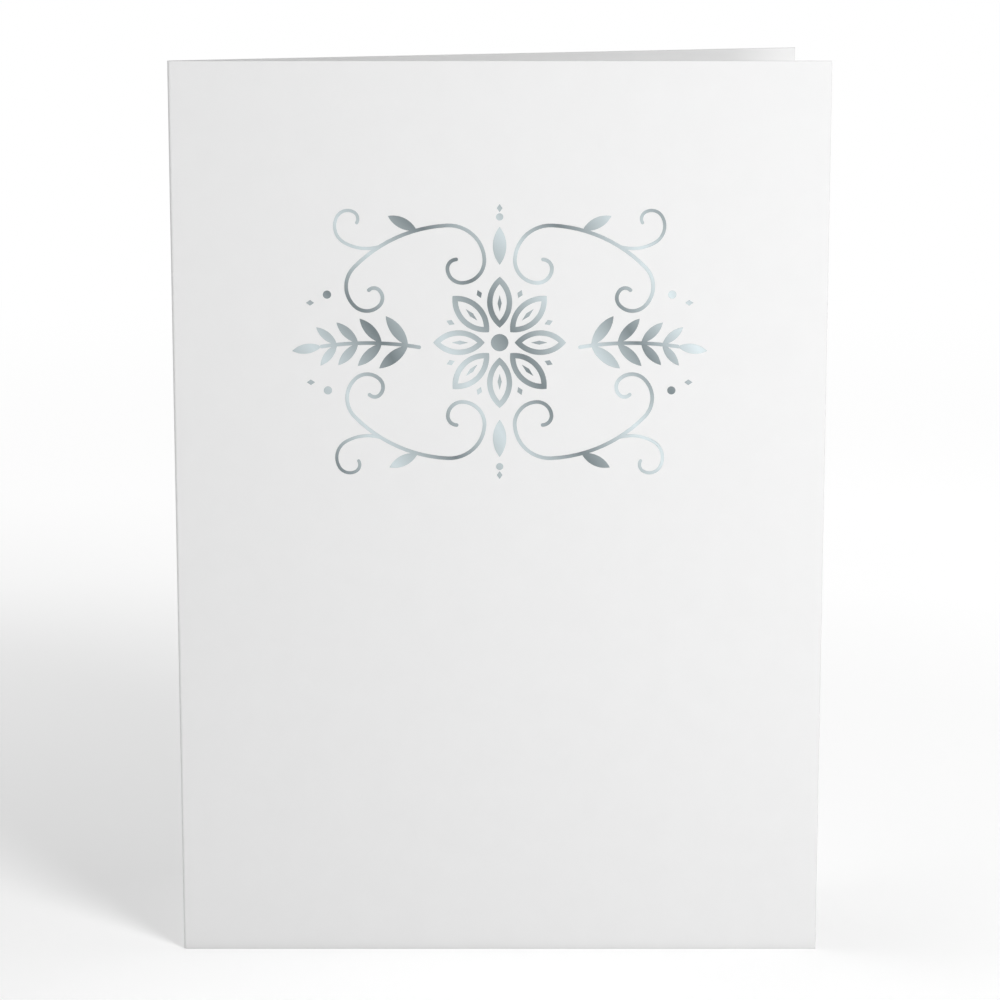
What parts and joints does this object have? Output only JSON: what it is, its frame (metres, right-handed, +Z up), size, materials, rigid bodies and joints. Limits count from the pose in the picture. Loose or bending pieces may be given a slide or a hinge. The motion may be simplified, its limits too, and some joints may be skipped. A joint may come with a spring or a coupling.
{
  "type": "greeting card",
  "caption": "Folded portrait greeting card of white card stock, standing slightly open, with a silver foil ornament on the front leaf.",
  "frame": {"origin": "foot of the fold, on the fold's axis, where the card stands on the table", "axes": "+Z up the fold, +X along the front leaf from the fold to its fore edge, -Y out of the front leaf's printed side; the back leaf opens towards +Y"},
  "size_m": [0.127, 0.0339, 0.1778],
  "materials": {
    "white_card_stock": "matte",
    "silver_foil": "satin"
  },
  "bodies": {
    "root": {"card_sheet": "white_card_stock", "foil_ornament": "silver_foil"}
  },
  "joints": []
}
